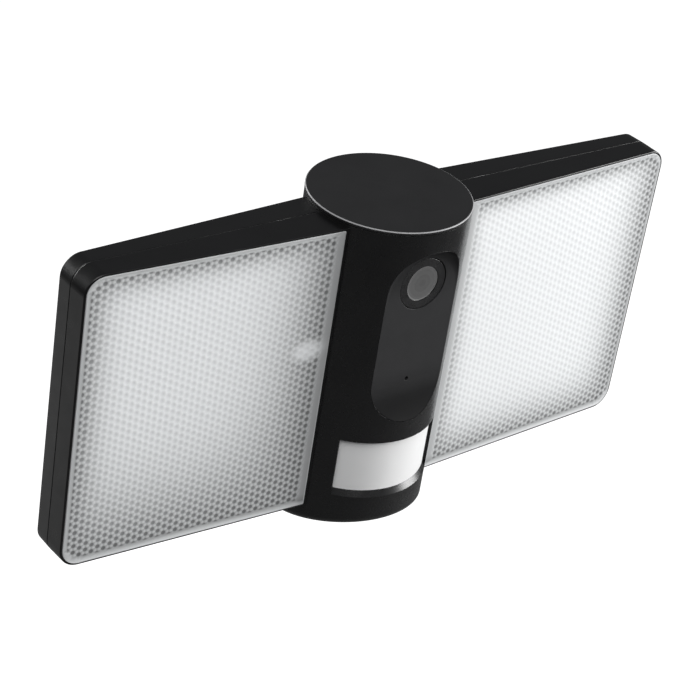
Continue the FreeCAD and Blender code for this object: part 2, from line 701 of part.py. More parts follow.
def diffuser():
    """Moulded cover, a plate that stands slightly out of its rim."""
    slab = diffuser_outline("0", ("-lens_proud", "lens_thick - lens_proud"))
    hollow = diffuser_outline("3.2", ("-lens_proud + 2", "10"))
    front = -sheet.get("lens_proud") + 0.01
    rounded = dress(slab, lambda box: box.YMax < front, 0.35)
    return cut(rounded, hollow)


def diffuser_seal():
    depth = ("lens_thick - lens_proud", "lens_thick - lens_proud + seal_thick - 0.05")
    return cut(diffuser_outline("0.1", depth), diffuser_outline("1.5", ("-5", "10")))


def reflector():
    """White liner that stands between the diffuser and the light board."""
    def ring(inset, y):
        return plate((f"15.5 + ({inset})", f"panel_width - 4 - ({inset})"),
                     (f"-panel_drop - panel_tall + 8 + ({inset})", f"-panel_drop - 8 - ({inset})"), y,
                     "panel_round - 4", "2")
    return cut(ring("0", ("3.4", "board_depth - 0.05")), ring("1.4", ("0", "30")))


def led_board():
    board = block(("6.6", "panel_width - 5"), ("board_depth", "board_depth + board_thick"),
                  ("-panel_drop - panel_tall + 8.5", "-panel_drop - 8.5"))
    return cut(board, *[head_rod("1.5", ("0", "20"), x, z) for x, z in BOARD_SCREWS])


def leds():
    columns, rows = 6, 7
    chips = []
    for i in range(columns):
        for j in range(rows):
            x = f"24 + {i} * (panel_width - 40) / {columns - 1}"
            z = f"-panel_drop - 20 - {j} * (panel_tall - 40) / {rows - 1}"
            chips.append(block((f"{x} - 1.75", f"{x} + 1.75"), ("board_depth - 0.8", "board_depth"),
                               (f"{z} - 1.4", f"{z} + 1.4")))
    return group(chips)


def led_connector():
    return block(("8", "14.5"), ("board_depth - 5", "board_depth"),
                 (f"-{LEAD_DROP} - 5", f"-{LEAD_DROP} + 5"))


def led_lead():
    """Two insulated wires from the power board's side of the head to the light board's connector."""
    return group([rod("0.9", "panel_inner + 7.3 - 33", (33, -LEAD_FRONT, f"-{LEAD_DROP} + {side} * 1.4"), "x")
                  for side in (-1, 1)])


def lead_gland():
    body = rod("4", 7.6, (38.2, -LEAD_FRONT, -LEAD_DROP), "x")
    wires = [rod("0.95", 20, (30, -LEAD_FRONT, f"-{LEAD_DROP} + {side} * 1.4"), "x") for side in (-1, 1)]
    return cut(body, *wires)


def panel_screws():
    """Screws that hold a panel to the cylinder, its two halves together and its light board in place."""
    screws = [join(rod("1.5", 11, (38, ROOT_SCREW_BACK, -drop), "x"),
                   rod("2.8", 2.2, (36, ROOT_SCREW_BACK, -drop), "x")) for drop in ROOT_SCREW_DROPS]
    for x, z in WING_SCREWS:
        body = join(head_rod("1.2", ("-4.5", f"{rear_at(x)} - 2"), x, z),
                    head_rod("2.7", (f"{rear_at(x)} - 2.35", f"{rear_at(x)} - 0.3"), x, z))
        screws.append(cut(body, *cross_recess((f"{rear_at(x)} - 1.3", f"{rear_at(x)}"), x, z, 1.5)))
    return group(screws)


def board_screws():
    return group([join(head_rod("1.05", ("board_depth - 0.5", "board_depth + 7"), x, z),
                       head_rod("2.4", ("board_depth - 1.2", "board_depth"), x, z)) for x, z in BOARD_SCREWS])


RIGHT_PANEL = ((wing_frame, in_head), (wing_back, in_head), (diffuser, in_panel), (diffuser_seal, in_panel),
               (reflector, in_panel), (led_board, in_panel), (leds, in_panel), (led_connector, in_panel),
               (led_lead, in_head), (lead_gland, in_head))
for make, frame in RIGHT_PANEL:
    right = piece(f"right_{make.__name__}", make(), frame)
    piece(f"left_{make.__name__}", mirror(right), None)
for make, frame in ((panel_screws, in_head), (board_screws, in_panel)):
    right = make()
    frame(right)
    piece(make.__name__, group([right, mirror(right)]), None)


# ---------------------------------------------------------------- wall mount


def dome(inset):
    """Canopy form: a short straight side and a shallow crown toward the front."""
    crown = "canopy_depth - canopy_side"
    ball_radius = f"((canopy_radius * canopy_radius + ({crown}) * ({crown})) / (2 * ({crown})))"
    drum = rod(f"canopy_radius - ({inset})", "canopy_depth + 2", (0, "-canopy_depth - 1", 0), "y")
    ball = doc.addObject("Part::Sphere", "Crown")
    bind(ball, Radius=f"{ball_radius} - ({inset})")
    place(ball, 0, f"-canopy_depth + {ball_radius}", 0)
    return common(drum, ball)


def canopy():
    """Wall cover with the two lugs of the pan pivot cast on its front."""
    skin = cut(dome("0"), dome("canopy_wall"), block(("-70", "70"), ("-gasket_thick", "10"), ("-70", "70")))
    boss = common(rod(17, 6, (0, "-canopy_depth - 2", 0), "y"),
                  block(("-20", "20"), ("-canopy_depth - 2", "-canopy_depth + 2.2"), ("-20", "20")))
    lugs = []
    for low in LUG_STARTS:
        lugs.append(block(("-lug_radius", "lug_radius"), ("-pan_reach", "-canopy_depth + 1"),
                          (low, f"{low} + lug_thick")))
        lugs.append(rod("lug_radius", "lug_thick", (0, "-pan_reach", low)))
    pivot = rod("pivot_radius + 0.02", 60, (0, "-pan_reach", -30))
    stud_holes = [mount_rod("2.6", ("-30", "-5"), f"{side} * canopy_pitch / 2", 0) for side in (-1, 1)]
    gland_hole = mount_rod("5.05", ("-30", "-5"), 0, GLAND_Z)
    return cut(join(skin, boss, *lugs), pivot, *stud_holes, gland_hole)


def mount_rod(radius, y, x, z):
    return rod(radius, f"({y[1]}) - ({y[0]})", (x, y[0], z), "y")


def wall_gasket():
    return cut(mount_rod("canopy_radius", ("-gasket_thick", "0"), 0, 0),
               mount_rod("canopy_radius - 3.4", ("-5", "5"), 0, 0))


def slot(x):
    """Slot through the crossbar, along X."""
    half = "(box_slot / 2 - box_hole)"
    ends = [mount_rod("box_hole", ("-10", "5"), f"({x}) + {side} * {half}", 0) for side in (-1, 1)]
    return join(*ends, block((f"({x}) - {half}", f"({x}) + {half}"), ("-10", "5"), ("-box_hole", "box_hole")))


def crossbar():
    bar = block(("-canopy_radius + 4.4", "canopy_radius - 4.4"), ("-gasket_thick", "0"), ("-9", "9"))
    studs = [mount_rod("2.05", ("-10", "5"), f"{side} * canopy_pitch / 2", 0) for side in (-1, 1)]
    return cut(bar, *studs, *[slot(f"{side} * box_pitch / 2") for side in (-1, 1)])


def canopy_studs():
    """Studs from the crossbar through the canopy, with their flange nuts behind the crown."""
    studs = []
    for side in (-1, 1):
        x = f"{side} * canopy_pitch / 2"
        studs.append(join(mount_rod("2", ("-26.5", "0"), x, 0),
                          mount_rod("3.6", ("-gasket_thick - 2.4", "-gasket_thick"), x, 0)))
    return group(studs)


def canopy_nuts():
    """Cap nuts on the studs."""
    nuts = []
    for side in (-1, 1):
        x = f"{side} * canopy_pitch / 2"
        nut = join(hexagon("4.4", 4.6, (x, "-26", 0), "y"), mount_rod("3.3", ("-27.8", "-26"), x, 0))
        nuts.append(cut(nut, mount_rod("2.05", ("-26.6", "0"), x, 0)))
    return group(nuts)


def canopy_gland():
    ring = join(mount_rod("5", ("-25", "-17"), 0, GLAND_Z), mount_rod("7", ("-24.6", "-22.4"), 0, GLAND_Z))
    return cut(ring, mount_rod("3", ("-40", "0"), 0, GLAND_Z))


def pan_knuckle():
    half = "knuckle_half"
    pan = rod("lug_radius - 1", f"2 * {half}", (0, "-pan_reach", f"-{half}"))
    tilt = rod("lug_radius - 1", f"2 * {half}", (f"-{half}", "-tilt_reach", 0), "x")
    web = block((f"-{half}", half), ("-tilt_reach", "-pan_reach"), (f"-{half}", half))
    bores = [rod("pivot_radius + run_gap", 60, (0, "-pan_reach", -30)),
             rod("pivot_radius + run_gap", 60, (-30, "-tilt_reach", 0), "x")]
    return cut(join(pan, tilt, web), *bores)


def friction_washers():
    """Two at the pan pivot and two at the tilt pivot."""
    washers = []
    for low in ("knuckle_half + 0.1", "-knuckle_half - 1.3"):
        washers.append(cut(rod("lug_radius - 1.4", "1.2", (0, "-pan_reach", low)),
                           rod("pivot_radius + run_gap", 60, (0, "-pan_reach", -30))))
        washers.append(cut(rod("lug_radius - 1.4", "1.2", (low, "-tilt_reach", 0), "x"),
                           rod("pivot_radius + run_gap", 60, (-30, "-tilt_reach", 0), "x")))
    return group(washers)


def pan_bolt():
    shaft = rod("pivot_radius", f"2 * ({LUG_OUT}) + 6.2", (0, "-pan_reach", f"-({LUG_OUT}) - 6.2"))
    head = hexagon("5.7", 4, (0, "-pan_reach", LUG_OUT))
    return join(shaft, head)


def pan_nut():
    return cut(hexagon("5.7", 5.6, (0, "-pan_reach", f"-({LUG_OUT}) - 5.7")),
               rod("pivot_radius + 0.02", 60, (0, "-pan_reach", -40)))


def tilt_bolt():
    shaft = rod("pivot_radius", f"2 * ({LUG_OUT}) + 11", (f"-({LUG_OUT})", "-tilt_reach", 0), "x")
    head = hexagon("5.7", 4, (f"-({LUG_OUT}) - 4", "-tilt_reach", 0), "x")
    return join(shaft, head)


def tilt_knob():
    """Clamping knob with eight grips on the end of the tilt bolt."""
    near = f"{LUG_OUT} + 0.3"
    body = rod("9.6", 11.6, (near, "-tilt_reach", 0), "x")
    grips = [rod("1.9", 11.6, (near, f"-tilt_reach + 9 * cos({angle})", f"9 * sin({angle})"), "x")
             for angle in range(0, 360, 45)]
    return cut(join(body, *grips), rod("pivot_radius + run_gap", "11.1", (near, "-tilt_reach", 0), "x"))


for make in (canopy, wall_gasket, crossbar, canopy_studs, canopy_nuts, canopy_gland, pan_knuckle,
             friction_washers, pan_bolt, pan_nut, tilt_bolt, tilt_knob):
    piece(make.__name__, make(), in_mount)


# ---------------------------------------------------------------- check and export

doc.recompute()
for thing in doc.Objects:
    if "Invalid" in thing.State or "Error" in thing.State:
        raise RuntimeError(f"{thing.Label} ({thing.Name}) failed: {thing.State}")
os.makedirs("parts", exist_ok=True)
for label, thing in PIECES.items():
    shape = thing.Shape
    if shape.isNull() or not shape.isValid() or not shape.Solids:
        raise RuntimeError(f"{label} has no valid solid")
    shape.exportStep(f"parts/{label}.step")
    print(f"{label:20s} solids {len(shape.Solids):3d}  volume {shape.Volume:10.0f} mm3")
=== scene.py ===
"""Looks of the floodlight camera: camera, studio, materials and the two honeycomb covers.

Everything is in metres in the frame of the CAD: +Z up, the wall at y = 0, the camera head looks along -Y.
"""
import math

import bmesh
import bpy
from mathutils import Matrix, Quaternion, Vector
from mathutils.geometry import delaunay_2d_cdt


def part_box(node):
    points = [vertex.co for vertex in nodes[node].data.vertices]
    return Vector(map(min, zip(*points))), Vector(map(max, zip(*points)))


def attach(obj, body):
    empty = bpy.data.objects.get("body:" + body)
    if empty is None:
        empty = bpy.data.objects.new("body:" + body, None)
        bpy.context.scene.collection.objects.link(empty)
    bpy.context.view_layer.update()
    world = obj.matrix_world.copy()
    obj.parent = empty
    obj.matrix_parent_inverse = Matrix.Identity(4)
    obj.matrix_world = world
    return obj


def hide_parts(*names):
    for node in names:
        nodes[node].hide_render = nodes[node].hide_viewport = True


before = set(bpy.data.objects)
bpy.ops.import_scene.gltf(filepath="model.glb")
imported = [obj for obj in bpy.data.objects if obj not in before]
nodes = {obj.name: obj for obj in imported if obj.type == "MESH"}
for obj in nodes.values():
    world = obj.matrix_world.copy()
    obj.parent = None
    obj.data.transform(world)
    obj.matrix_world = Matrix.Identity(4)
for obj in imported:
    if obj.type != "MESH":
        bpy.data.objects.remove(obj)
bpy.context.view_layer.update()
MM = 0.001


# ---------------------------------------------------------------- camera

AIM = Vector((-0.0322, -0.1304, 0.0595))
AZIMUTH, ELEVATION, ROLL = (math.radians(a) for a in (-41.45, 30.6, 9.37))
DISTANCE = 1.1475
FOCAL_MM = 119.0


def direction(azimuth, elevation):
    """Unit vector towards a viewpoint: azimuth 0 is in front of the object, 90 degrees on its +X side."""
    return Vector((math.sin(azimuth) * math.cos(elevation), -math.cos(azimuth) * math.cos(elevation),
                   math.sin(elevation)))


def add_camera():
    camera = bpy.data.objects.new("Camera", bpy.data.cameras.new("Camera"))
    bpy.context.scene.collection.objects.link(camera)
    back = direction(AZIMUTH, ELEVATION)
    camera.location = AIM + back * DISTANCE
    camera.rotation_mode = "QUATERNION"
    camera.rotation_quaternion = (-back).to_track_quat("-Z", "Y") @ Quaternion((0, 0, 1), ROLL)
    camera.data.lens = FOCAL_MM
    camera.data.clip_start = 0.05
    camera.data.clip_end = 50
    bpy.context.scene.camera = camera


# ---------------------------------------------------------------- material building blocks

NOISE_LOW, NOISE_HIGH = 0.3, 0.7
CLOUD_SCALE, GLOSS_SCALE, GRAIN_SCALE = 40, 130, 1800
GLOSS_LOW, GLOSS_HIGH = 0.9, 1.12


def new_material(name):
    material = bpy.data.materials.new(name)
    material.use_nodes = True
    tree = material.node_tree
    return material, tree.nodes["Principled BSDF"], tree


def add(tree, kind, **settings):
    made = tree.nodes.new(kind)
    for key, value in settings.items():
        setattr(made, key, value)
    return made


def object_coordinates(tree):
    return add(tree, "ShaderNodeTexCoord").outputs["Object"]


def place(tree):
    """The X, Y and Z of a point in the object's own space."""
    split = add(tree, "ShaderNodeSeparateXYZ")
    tree.links.new(object_coordinates(tree), split.inputs[0])
    return split.outputs


def calculate(tree, operation, first, second=0):
    """One step of arithmetic on a socket, with a second socket or number where it takes one."""
    step = add(tree, "ShaderNodeMath", operation=operation)
    tree.links.new(first, step.inputs[0])
    if isinstance(second, (int, float)):
        step.inputs[1].default_value = second
    else:
        tree.links.new(second, step.inputs[1])
    return step.outputs["Value"]


def ease(tree, value, start, end, first=0, last=1):
    """From a first to a last number between two values, smoothly."""
    step = add(tree, "ShaderNodeMapRange", interpolation_type="SMOOTHSTEP")
    for name, number in {"From Min": start, "From Max": end, "To Min": first, "To Max": last}.items():
        step.inputs[name].default_value = number
    tree.links.new(value, step.inputs["Value"])
    return step.outputs["Result"]


def noise(tree, scale, detail=3.0, stretch=None):
    """Noise in the object's own space, in cells per metre, optionally stretched along the axes."""
    texture = add(tree, "ShaderNodeTexNoise")
    texture.inputs["Scale"].default_value = scale
    texture.inputs["Detail"].default_value = detail
    source = object_coordinates(tree)
    if stretch:
        mapping = add(tree, "ShaderNodeMapping")
        mapping.inputs["Scale"].default_value = stretch
        tree.links.new(source, mapping.inputs["Vector"])
        source = mapping.outputs["Vector"]
    tree.links.new(source, texture.inputs["Vector"])
    return texture.outputs["Fac"]


def spread(tree, value, low, high):
    """Map the middle of 0 to 1, where most of a noise lies, onto a range."""
    ranged = add(tree, "ShaderNodeMapRange")
    numbers = {"From Min": NOISE_LOW, "From Max": NOISE_HIGH, "To Min": low, "To Max": high}
    for name, number in numbers.items():
        ranged.inputs[name].default_value = number
    tree.links.new(value, ranged.inputs["Value"])
    return ranged.outputs["Result"]


def blend(tree, factor, first, second):
    """Colour between two, each a colour or a socket."""
    mixer = add(tree, "ShaderNodeMix", data_type="RGBA")
    colour_inputs = [s for s in mixer.inputs if s.type == "RGBA"]
    for socket, value in zip(colour_inputs, (first, second)):
        if isinstance(value, tuple):
            socket.default_value = (*value, 1)
        else:
            tree.links.new(value, socket)
    tree.links.new(factor, mixer.inputs["Factor"])
    return next(s for s in mixer.outputs if s.type == "RGBA")


def bump(tree, shader, height, strength, distance, edge=0):
    """Fine relief, with the piece's sharp edges eased by a radius."""
    made = add(tree, "ShaderNodeBump")
    made.inputs["Strength"].default_value = strength
    made.inputs["Distance"].default_value = distance
    tree.links.new(height, made.inputs["Height"])
    if edge:
        eased = add(tree, "ShaderNodeBevel", samples=4)
        eased.inputs["Radius"].default_value = edge
        tree.links.new(eased.outputs["Normal"], made.inputs["Normal"])
    tree.links.new(made.outputs["Normal"], shader.inputs["Normal"])


def from_axis(tree, node, plane):
    """Share of a round node's radius at a point. The plane has a 1 for each axis across the node."""
    low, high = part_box(node)
    moved = add(tree, "ShaderNodeVectorMath", operation="SUBTRACT")
    moved.inputs[1].default_value = (low + high) / 2
    flat = add(tree, "ShaderNodeVectorMath", operation="MULTIPLY")
    flat.inputs[1].default_value = plane
    size = add(tree, "ShaderNodeVectorMath", operation="LENGTH")
    tree.links.new(object_coordinates(tree), moved.inputs[0])
    tree.links.new(moved.outputs["Vector"], flat.inputs[0])
    tree.links.new(flat.outputs["Vector"], size.inputs[0])
    return calculate(tree, "DIVIDE", size.outputs["Value"], (high.x - low.x) / 2)


def ramp(tree, value, stops):
    """Grey levels along a value."""
    made = add(tree, "ShaderNodeValToRGB")
    elements = made.color_ramp.elements
    while len(elements) < len(stops):
        elements.new(0.5)
    for element, (position, grey) in zip(elements, stops):
        element.position = position
        element.color = (grey, grey, grey, 1)
    tree.links.new(value, made.inputs["Fac"])
    return made.outputs["Color"]


def shade(colour, factor):
    return tuple(min(1.0, c * factor) for c in colour)


# ---------------------------------------------------------------- studio

LIT_POINT = Vector((0, -0.104, 0.05))
FLOOR_DROP = 0.9
FLOOR_HALF = 12
POOL_CENTRE = (-0.9, 1.5, 0)
POOL_INNER, POOL_OUTER = 0.3, 1.1
POOL_STRENGTH = 0.33
SKY_LIGHT = 0.13
SKY_SEEN = 1.1


def softbox(name, azimuth, elevation, distance, width, height, watts):
    """Rectangular studio light that faces the camera head; angles in degrees."""
    lamp = bpy.data.lights.new(name, "AREA")
    lamp.shape = "RECTANGLE"
    lamp.size = width
    lamp.size_y = height
    lamp.energy = watts
    light = bpy.data.objects.new(name, lamp)
    bpy.context.scene.collection.objects.link(light)
    towards = direction(math.radians(azimuth), math.radians(elevation))
    light.location = LIT_POINT + towards * distance
    light.rotation_mode = "QUATERNION"
    light.rotation_quaternion = (-towards).to_track_quat("-Z", "Y")


def pool(tree):
    """Soft round patch of light on the floor: full inside one radius, gone at the other."""
    away = add(tree, "ShaderNodeVectorMath", operation="DISTANCE")
    away.inputs[1].default_value = POOL_CENTRE
    tree.links.new(object_coordinates(tree), away.inputs[0])
    return ease(tree, away.outputs["Value"], POOL_INNER, POOL_OUTER, POOL_STRENGTH, 0)


def pale_floor():
    """White to the eye; to the object it is a dim table with a pool of light behind the left panel.

    From below it is clear, so that the underside can be looked at.
    """
    material, shader, tree = new_material("pale_floor")
    shader.inputs["Base Color"].default_value = (0.2, 0.2, 0.2, 1)
    shader.inputs["Roughness"].default_value = 0.9
    shader.inputs["Emission Color"].default_value = (1, 1, 1, 1)
    seen = add(tree, "ShaderNodeLightPath").outputs["Is Camera Ray"]
    tree.links.new(calculate(tree, "MAXIMUM", pool(tree), seen), shader.inputs["Emission Strength"])
    one_sided = add(tree, "ShaderNodeMixShader")
    tree.links.new(add(tree, "ShaderNodeNewGeometry").outputs["Backfacing"], one_sided.inputs["Fac"])
    tree.links.new(shader.outputs["BSDF"], one_sided.inputs[1])
    tree.links.new(add(tree, "ShaderNodeBsdfTransparent").outputs["BSDF"], one_sided.inputs[2])
    tree.links.new(one_sided.outputs["Shader"], tree.nodes["Material Output"].inputs["Surface"])
    return material


def add_sky():
    """Dim even light from all round, white to the eye."""
    world = bpy.data.worlds.new("Studio")
    bpy.context.scene.world = world
    world.use_nodes = True
    tree = world.node_tree
    background = tree.nodes["Background"]
    background.inputs["Color"].default_value = (0.95, 0.97, 1.0, 1)
    seen = add(tree, "ShaderNodeLightPath").outputs["Is Camera Ray"]
    bright = calculate(tree, "MULTIPLY", seen, SKY_SEEN)
    tree.links.new(calculate(tree, "MAXIMUM", bright, SKY_LIGHT), background.inputs["Strength"])


def add_floor():
    bm = bmesh.new()
    bmesh.ops.create_grid(bm, x_segments=8, y_segments=8, size=FLOOR_HALF)
    mesh = bpy.data.meshes.new("Floor")
    bm.to_mesh(mesh)
    bm.free()
    floor = bpy.data.objects.new("Floor", mesh)
    floor.location.z = -FLOOR_DROP
    bpy.context.scene.collection.objects.link(floor)
    mesh.materials.append(pale_floor())


def add_studio():
    softbox("Key", 63, 12, distance=1.6, width=0.9, height=0.9, watts=37)
    softbox("Over", -58, 64, distance=1.5, width=1.3, height=0.6, watts=13)
    softbox("Front", -12, 42, distance=1.8, width=1.0, height=0.6, watts=11)
    softbox("Rear", 194, 8, distance=1.9, width=1.3, height=0.7, watts=26)
    add_sky()
    add_floor()


# ---------------------------------------------------------------- materials

def moulded(name, colour, roughness, specular=0.5, grain=GRAIN_SCALE, depth=0.02, tone=0.12, metallic=0.0,
            stretch=None, edge=0.0):
    """Moulded, cast or rolled surface: slow tone variation, uneven gloss and a fine texture.

    The depth of the texture and the round of the edges are in millimetres.
    """
    material, shader, tree = new_material(name)
    cloud = noise(tree, CLOUD_SCALE, stretch=stretch)
    tint = blend(tree, spread(tree, cloud, 0, 1), shade(colour, 1 - tone), shade(colour, 1 + tone))
    tree.links.new(tint, shader.inputs["Base Color"])
    gloss = noise(tree, GLOSS_SCALE, detail=4.0, stretch=stretch)
    uneven = spread(tree, gloss, roughness * GLOSS_LOW, roughness * GLOSS_HIGH)
    tree.links.new(uneven, shader.inputs["Roughness"])
    bump(tree, shader, noise(tree, grain, detail=2.0, stretch=stretch), 0.5, depth * MM, edge * MM)
    shader.inputs["Specular IOR Level"].default_value = specular
    shader.inputs["Metallic"].default_value = metallic
    return material


FINISHES = {
    "housing": dict(colour=(0.0075, 0.0075, 0.0078), roughness=0.27, specular=0.5, edge=0.12),
    # The panels' housing: the same plastic, darker, as painted shade.
    "panel_housing_painted_shade": dict(colour=(0.004, 0.004, 0.0042), roughness=0.3, specular=0.4, edge=0.12),
    "pir_film": dict(colour=(0.76, 0.76, 0.76), roughness=0.36, depth=0.006, tone=0.02),
    "white_liner": dict(colour=(0.85, 0.85, 0.84), roughness=0.6, tone=0.03),
    "seal_rubber": dict(colour=(0.02, 0.02, 0.02), roughness=0.8, specular=0.3),
    "metal_board": dict(colour=(0.8, 0.81, 0.8), roughness=0.4, tone=0.03),
    "led_package": dict(colour=(0.86, 0.68, 0.2), roughness=0.35, tone=0.1),
    "connector_plastic": dict(colour=(0.78, 0.7, 0.48), roughness=0.45),
    "wire_insulation": dict(colour=(0.42, 0.03, 0.025), roughness=0.45),
    "chip_plastic": dict(colour=(0.018, 0.018, 0.018), roughness=0.55),
    "inner_plastic": dict(colour=(0.09, 0.09, 0.1), roughness=0.55),
    "screw_steel": dict(colour=(0.55, 0.55, 0.56), roughness=0.32, metallic=1.0, depth=0.004, edge=0.3),
    "black_steel": dict(colour=(0.02, 0.02, 0.02), roughness=0.35, specular=0.6, edge=0.3),
    "die_cast": dict(colour=(0.011, 0.011, 0.012), roughness=0.5, specular=0.35, grain=900, depth=0.05,
                     edge=0.3),
    "spreader": dict(colour=(0.7, 0.7, 0.71), roughness=0.35, metallic=1.0, stretch=(1, 1, 0.05)),
    "sensor_metal": dict(colour=(0.62, 0.57, 0.45), roughness=0.3, metallic=1.0, depth=0.004),
    "knob_plastic": dict(colour=(0.012, 0.012, 0.012), roughness=0.5, edge=0.3),
    "washer_nylon": dict(colour=(0.72, 0.7, 0.64), roughness=0.5, edge=0.3),
}


def circuit_board():
    """Green solder mask with lighter tracks under it."""
    material, shader, tree = new_material("circuit_board")
    tracks = add(tree, "ShaderNodeTexBrick")
    tracks.inputs["Scale"].default_value = 260
    tracks.inputs["Mortar Size"].default_value = 0.03
    tracks.inputs["Color1"].default_value = (0.012, 0.09, 0.035, 1)
    tracks.inputs["Color2"].default_value = (0.014, 0.105, 0.04, 1)
    tracks.inputs["Mortar"].default_value = (0.03, 0.2, 0.08, 1)
    turned = add(tree, "ShaderNodeMapping")
    turned.inputs["Rotation"].default_value = (math.radians(90), 0, 0)
    tree.links.new(object_coordinates(tree), turned.inputs["Vector"])
    tree.links.new(turned.outputs["Vector"], tracks.inputs["Vector"])
    tree.links.new(tracks.outputs["Color"], shader.inputs["Base Color"])
    tree.links.new(spread(tree, noise(tree, 300), 0.25, 0.35), shader.inputs["Roughness"])
    bump(tree, shader, tracks.outputs["Fac"], 0.4, 0.02 * MM)
    return material


# Grey levels of the barrel's rings and of the lighter edge, from the axis outwards.
LENS_RINGS = ((0.0, 0.082), (0.2, 0.084), (0.23, 0.092), (0.5, 0.088), (0.53, 0.1), (0.8, 0.096),
              (0.83, 0.11), (0.93, 0.105), (0.955, 0.2), (1.0, 0.22))


def lens_glass():
    """Coated camera window: grey sheen over the barrel's faint rings, with a lighter edge."""
    material, shader, tree = new_material("lens_glass")
    axis_share = from_axis(tree, "lens_window", (1, 0, 1))
    tree.links.new(ramp(tree, axis_share, LENS_RINGS), shader.inputs["Base Color"])
    tree.links.new(spread(tree, noise(tree, 200), 0.1, 0.16), shader.inputs["Roughness"])
    shader.inputs["Coat Weight"].default_value = 0.6
    shader.inputs["Coat Roughness"].default_value = 0.04
    return material


# Width of the band round the cap's top edge that is painted as a highlight.
CAP_HIGHLIGHT_WIDTH = 0.5 * MM


def cap_plastic():
    """Satin black cap with a painted highlight: its top edge is painted lighter."""
    material, shader, tree = new_material("cap")
    low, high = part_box("top_cap")
    rim_highlight = 1 - CAP_HIGHLIGHT_WIDTH / ((high.x - low.x) / 2)
    outside = calculate(tree, "GREATER_THAN", from_axis(tree, "top_cap", (1, 1, 0)), rim_highlight)
    upper = calculate(tree, "GREATER_THAN", place(tree)["Z"], high.z - CAP_HIGHLIGHT_WIDTH)
    edge = calculate(tree, "MULTIPLY", outside, upper)
    cloud = spread(tree, noise(tree, CLOUD_SCALE), 0, 1)
    tint = blend(tree, cloud, (0.012, 0.012, 0.0125), (0.015, 0.015, 0.0155))
    # Painted highlight: a light grey band along the top edge.
    tree.links.new(blend(tree, edge, tint, (0.3, 0.3, 0.305)), shader.inputs["Base Color"])
    tree.links.new(spread(tree, noise(tree, GLOSS_SCALE), 0.34, 0.42), shader.inputs["Roughness"])
    bump(tree, shader, noise(tree, GRAIN_SCALE, detail=2.0), 0.5, 0.02 * MM)
    shader.inputs["Specular IOR Level"].default_value = 0.32
    return material


# Painted shade on the face plate: its reach above the foot, its fade about the lens and its share above it.
FOOT_LOW, FOOT_HIGH = 3 * MM, 30 * MM
SCOOP_FADE = 10 * MM
SCOOP_SHADE = 0.5


def face_plastic():
    """Satin face plate, with painted shade: deeper black at its foot and in the scoop above the lens."""
    material, shader, tree = new_material("face")
    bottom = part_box("face_plate")[0].z
    lens = (sum(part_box("lens_window"), Vector()) / 2).z
    height = place(tree)["Z"]
    foot = ease(tree, height, bottom + FOOT_LOW, bottom + FOOT_HIGH)
    scoop = ease(tree, height, lens - SCOOP_FADE, lens + SCOOP_FADE)
    # Painted shade: darker towards the foot and above the lens, with the specular level lowered alike.
    share = calculate(tree, "SUBTRACT", foot, calculate(tree, "MULTIPLY", scoop, SCOOP_SHADE))
    grey = blend(tree, share, (0.004, 0.004, 0.0042), (0.026, 0.026, 0.027))
    tree.links.new(grey, shader.inputs["Base Color"])
    tree.links.new(spread(tree, noise(tree, GLOSS_SCALE), 0.42, 0.52), shader.inputs["Roughness"])
    bump(tree, shader, noise(tree, GRAIN_SCALE, detail=2.0), 0.5, 0.02 * MM, 0.4 * MM)
    tree.links.new(spread(tree, share, 0.06, 0.16), shader.inputs["Specular IOR Level"])
    return material


BEZEL_GROOVES = 150


def turned_ring():
    """Black bezel with the fine rings of a turned part."""
    material, shader, tree = new_material("bezel")
    turns = calculate(tree, "MULTIPLY", from_axis(tree, "lens_bezel", (1, 0, 1)), BEZEL_GROOVES)
    grooves = calculate(tree, "SINE", turns)
    shader.inputs["Base Color"].default_value = (0.012, 0.012, 0.0125, 1)
    tree.links.new(spread(tree, noise(tree, 260), 0.24, 0.32), shader.inputs["Roughness"])
    bump(tree, shader, grooves, 0.6, 0.03 * MM, 0.3 * MM)
    return material


def finish_cad_nodes():
    """Give every CAD node the finish of its record slot; the panels' housings get a darker copy of the
    housing plastic, as painted shade.
    """
    special = {"circuit_board": circuit_board, "lens_glass": lens_glass, "bezel": turned_ring,
               "cap": cap_plastic, "face": face_plastic, "diffuser": honeycomb}
    made = {slot: moulded(slot, **values) for slot, values in FINISHES.items()}
    for name, node in nodes.items():
        for index, imported in enumerate(list(node.data.materials)):
            slot = imported.name.split(".")[0] if imported else "housing"
            if slot == "housing" and "_wing_" in name:
                slot = "panel_housing_painted_shade"
            if slot not in made:
                made[slot] = special[slot]()
            node.data.materials[index] = made[slot]
    return made


# ---------------------------------------------------------------- honeycomb covers

# Each cover is made in its own panel's frame: x runs outwards from the cylinder, z up, y into the panel.
SWEEP = math.radians(3.1)
OUTER_CORNER, INNER_CORNER = 9.5 * MM, 0.8 * MM
OUTER_STEPS, INNER_STEPS = 16, 4
EDGE_ROUND = 0.4 * MM
EDGE_STEPS = 4
INNER_TIGHTENING = 0.9

# Cells: pitch, depth, and for each ring of points its radius in pitches, its share of the depth and its
# turn in degrees.
CELL = 3.9 * MM
CELL_DEPTH = 0.2 * MM
CELL_RINGS = ((0.24, 0.97, 0), (0.36, 0.5, 30), (0.455, 0.04, 0))
CELL_CLEAR = 0.15 * MM

# Plain border: its width at the top and outside, beside the cylinder and at the foot, and how far the
# cells beside it fade. The wide band beside the cylinder has two rows of points of its own.
BORDER = 1.3 * MM
BORDER_INNER = 4.6 * MM
BORDER_FOOT = 3.0 * MM
BORDER_FADE = 1.3 * MM
BAND_START = BORDER * 0.75
BAND_STEPS = 40

# What the triangulation keeps, which is all inside the outline, and how near points are joined.
KEEP_INSIDE, JOIN_WITHIN = 1, 1e-7

